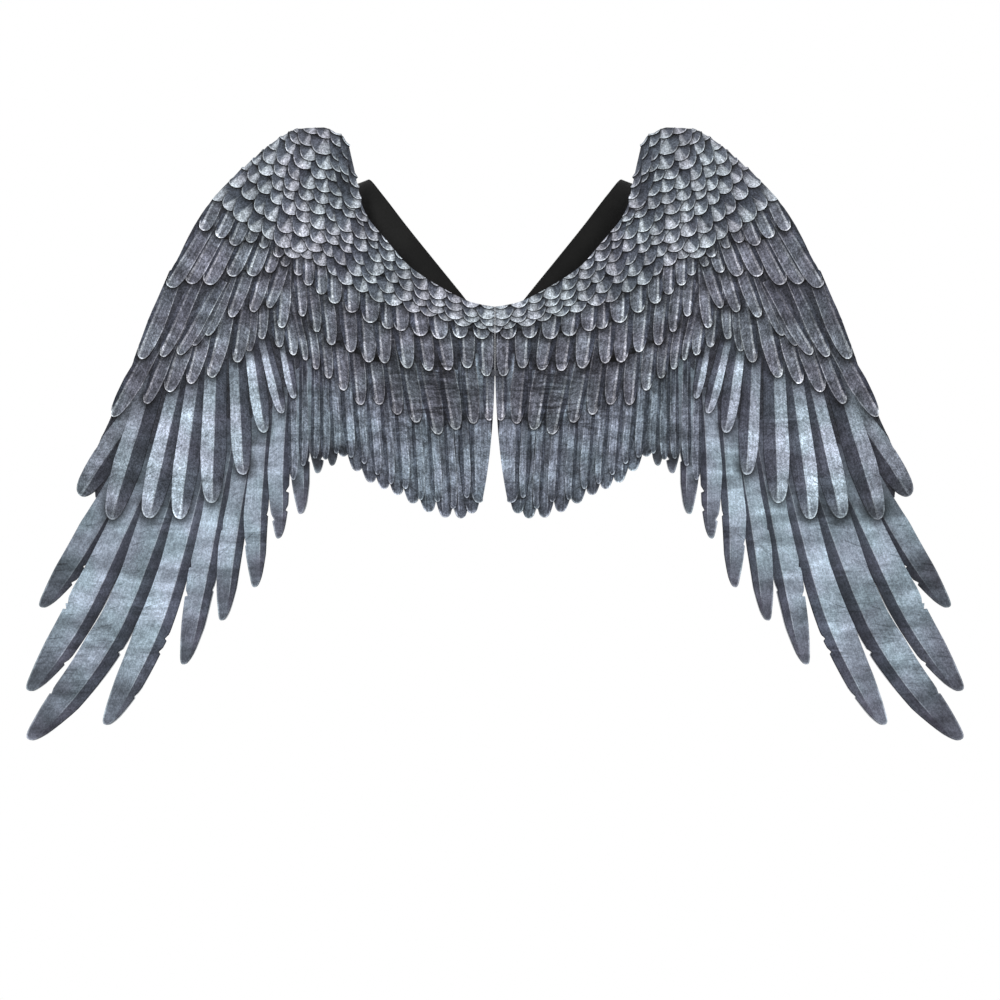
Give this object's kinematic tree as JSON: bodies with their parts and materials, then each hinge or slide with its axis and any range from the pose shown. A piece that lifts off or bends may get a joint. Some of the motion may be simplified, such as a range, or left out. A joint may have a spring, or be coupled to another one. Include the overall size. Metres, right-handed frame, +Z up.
{
  "type": "worn costume angel wings",
  "caption": "Pair of soft feathered costume wings joined at a centre seam, with two shoulder straps, in the form they have when worn.",
  "frame": {"origin": "on the inner face of the cloth at the top of the centre seam, where it lies between the wearer's shoulder blades", "axes": "+X towards the wearer's right, +Y the way the wearer faces, +Z up; the printed face looks along -Y"},
  "size_m": [0.9428, 0.1459, 0.6139],
  "materials": {
    "feather_print": "matte soft cloth printed with grey and blue-grey feathers",
    "black_elastic": "matte ribbed woven elastic"
  },
  "bodies": {
    "root": {"wing_left": "feather_print", "wing_right": "feather_print", "strap_left": "black_elastic", "strap_right": "black_elastic"}
  },
  "joints": []
}
